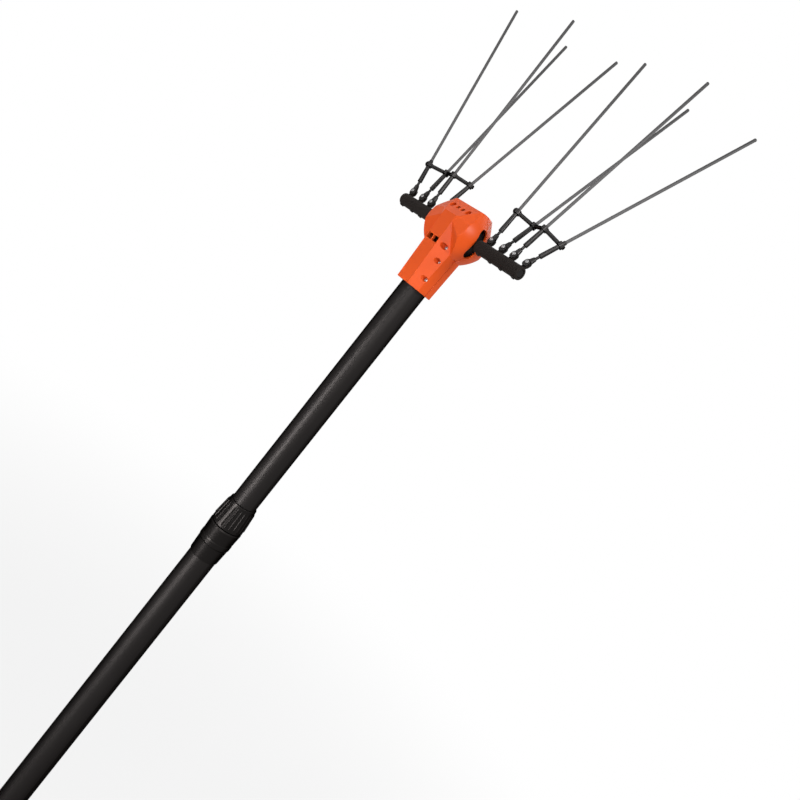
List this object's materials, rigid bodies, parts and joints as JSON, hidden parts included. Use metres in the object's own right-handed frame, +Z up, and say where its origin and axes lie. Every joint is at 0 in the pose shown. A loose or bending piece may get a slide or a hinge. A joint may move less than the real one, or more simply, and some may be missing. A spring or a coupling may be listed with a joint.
{
  "type": "electric olive harvester",
  "caption": "Telescopic pole with a twist lock, a hand grip and a rocker switch; its motor head swings two rakes of thin carbon rods to comb fruit off branches.",
  "frame": {"origin": "middle of the hand grip, on the pole's axis", "axes": "+Z up the pole to the head, +X to the right rake, -Y to the front of the head and the switch"},
  "size_m": [0.3772, 0.1464, 1.6617],
  "materials": {
    "head_shell": "satin orange moulding",
    "black_plastic": "satin black moulding",
    "pole": "satin black anodised tube",
    "carbon": "ground carbon-fibre rod",
    "steel": "zinc-plated",
    "drive_aluminium": "die cast",
    "bearing_brass": "sintered bronze",
    "magnet": "ferrite",
    "grip": "moulded rubber",
    "shield_rubber": "moulded rubber",
    "pale_plastic": "natural acetal",
    "switch_red": "gloss"
  },
  "bodies": {
    "handle": {"outer_tube": "pole", "grip_sleeve": "grip", "end_cap": "black_plastic", "cord_gland": "grip", "switch_housing_front": "black_plastic", "switch_housing_rear": "black_plastic", "switch_housing_screws": "steel", "switch_body": "black_plastic", "collar_body": "black_plastic", "clamp_ring": "pale_plastic"},
    "twist_nut": {"twist_nut": "black_plastic"},
    "switch_rocker": {"switch_rocker": "switch_red"},
    "mast": {"inner_tube": "pole", "slide_bush": "pale_plastic", "front_shell": "head_shell", "rear_shell": "head_shell", "shell_screws": "steel", "pivot_pins": "steel", "motor_can": "steel", "motor_end_cap": "black_plastic", "motor_magnets": "magnet", "gear_plate": "drive_aluminium", "plate_screws": "steel", "crank_bearing": "bearing_brass"},
    "armature": {"armature": "steel", "motor_pinion": "steel"},
    "crank": {"crank_gear": "steel", "crank_pin": "steel", "crank_roller": "bearing_brass"},
    "right_rake": {"right_rocker": "drive_aluminium", "right_pivot_bushes": "bearing_brass", "right_slot_shield": "shield_rubber", "right_rake_bar": "black_plastic", "right_bar_plug": "black_plastic", "right_tine_screws": "steel"},
    "right_tine_1": {"right_tine_holder_1": "black_plastic", "right_carbon_rod_1": "carbon"},
    "right_tine_2": {"right_tine_holder_2": "black_plastic", "right_carbon_rod_2": "carbon"},
    "right_tine_3": {"right_tine_holder_3": "black_plastic", "right_carbon_rod_3": "carbon"},
    "right_tine_4": {"right_tine_holder_4": "black_plastic", "right_carbon_rod_4": "carbon"},
    "right_link": {"right_cross_link": "black_plastic"},
    "left_rake": {"left_rocker": "drive_aluminium", "left_pivot_bushes": "bearing_brass", "left_slot_shield": "shield_rubber", "left_rake_bar": "black_plastic", "left_bar_plug": "black_plastic", "left_tine_screws": "steel"},
    "left_tine_1": {"left_tine_holder_1": "black_plastic", "left_carbon_rod_1": "carbon"},
    "left_tine_2": {"left_tine_holder_2": "black_plastic", "left_carbon_rod_2": "carbon"},
    "left_tine_3": {"left_tine_holder_3": "black_plastic", "left_carbon_rod_3": "carbon"},
    "left_tine_4": {"left_tine_holder_4": "black_plastic", "left_carbon_rod_4": "carbon"},
    "left_link": {"left_cross_link": "black_plastic"}
  },
  "joints": [
    {"name": "pole_slide", "type": "slide", "parent": "handle", "child": "mast", "axis": [0, 0, 1], "range_m": [-0.35, 0.35]},
    {"name": "nut_turn", "type": "hinge", "parent": "handle", "child": "twist_nut", "pos_m": [0, 0, 0.825], "axis": [0, 0, 1], "range_deg": [0, 90]},
    {"name": "switch_press", "type": "hinge", "parent": "handle", "child": "switch_rocker", "pos_m": [0, -0.0421, 0.137], "axis": [1, 0, 0], "range_deg": [-14, 0]},
    {"name": "right_swing", "type": "hinge", "parent": "mast", "child": "right_rake", "pos_m": [0.014, 0, 1.2692], "axis": [0, 1, 0], "range_deg": [-8, 8]},
    {"name": "left_swing", "type": "hinge", "parent": "mast", "child": "left_rake", "pos_m": [-0.014, 0, 1.2692], "axis": [0, 1, 0], "range_deg": [-8, 8]},
    {"name": "crank_turn", "type": "hinge", "parent": "mast", "child": "crank", "pos_m": [0, -0.0144, 1.2295], "axis": [0, 0, 1], "range_deg": [-90, 90]},
    {"name": "armature_turn", "type": "hinge", "parent": "mast", "child": "armature", "pos_m": [0, 0, 1.1825], "axis": [0, 0, 1], "range_deg": [-234, 234]},
    {"name": "right_sway_1", "type": "hinge", "parent": "right_rake", "child": "right_tine_1", "pos_m": [0.0512, 0.00367, 1.28415], "axis": [0, 0.9711, -0.2385], "range_deg": [-5, 5]},
    {"name": "right_sway_2", "type": "hinge", "parent": "right_rake", "child": "right_tine_2", "pos_m": [0.0735, 0.00367, 1.28415], "axis": [0, 0.9711, -0.2385], "range_deg": [-5, 5]},
    {"name": "right_sway_3", "type": "hinge", "parent": "right_rake", "child": "right_tine_3", "pos_m": [0.0932, 0.00367, 1.28415], "axis": [0, 0.9711, -0.2385], "range_deg": [-5, 5]},
    {"name": "right_sway_4", "type": "hinge", "parent": "right_rake", "child": "right_tine_4", "pos_m": [0.116, 0.00367, 1.28415], "axis": [0, 0.9711, -0.2385], "range_deg": [-5, 5]},
    {"name": "right_link_turn", "type": "hinge", "parent": "right_tine_2", "child": "right_link", "pos_m": [0.07516, 0.01825, 1.32722], "axis": [0, 0.9711, -0.2385], "range_deg": [-5, 5]},
    {"name": "left_sway_1", "type": "hinge", "parent": "left_rake", "child": "left_tine_1", "pos_m": [-0.0512, 0.0018, 1.28449], "axis": [0, 0.9932, -0.1167], "range_deg": [-5, 5]},
    {"name": "left_sway_2", "type": "hinge", "parent": "left_rake", "child": "left_tine_2", "pos_m": [-0.0735, 0.0018, 1.28449], "axis": [0, 0.9932, -0.1167], "range_deg": [-5, 5]},
    {"name": "left_sway_3", "type": "hinge", "parent": "left_rake", "child": "left_tine_3", "pos_m": [-0.0932, 0.0018, 1.28449], "axis": [0, 0.9932, -0.1167], "range_deg": [-5, 5]},
    {"name": "left_sway_4", "type": "hinge", "parent": "left_rake", "child": "left_tine_4", "pos_m": [-0.116, 0.0018, 1.28449], "axis": [0, 0.9932, -0.1167], "range_deg": [-5, 5]},
    {"name": "left_link_turn", "type": "hinge", "parent": "left_tine_2", "child": "left_link", "pos_m": [-0.07516, 0.00322, 1.32994], "axis": [0, 0.9932, -0.1167], "range_deg": [-5, 5]}
  ],
  "couplings": [
    {"joint": "left_swing", "follows": "right_swing", "ratio": -1},
    {"joint": "crank_turn", "follows": "right_swing", "ratio": 11.25},
    {"joint": "armature_turn", "follows": "right_swing", "ratio": -29.25},
    {"joint": "right_sway_2", "follows": "right_sway_1", "ratio": 1},
    {"joint": "right_sway_3", "follows": "right_sway_1", "ratio": 1},
    {"joint": "right_sway_4", "follows": "right_sway_1", "ratio": 1},
    {"joint": "right_link_turn", "follows": "right_sway_1", "ratio": -1},
    {"joint": "left_sway_2", "follows": "left_sway_1", "ratio": 1},
    {"joint": "left_sway_3", "follows": "left_sway_1", "ratio": 1},
    {"joint": "left_sway_4", "follows": "left_sway_1", "ratio": 1},
    {"joint": "left_link_turn", "follows": "left_sway_1", "ratio": -1}
  ]
}
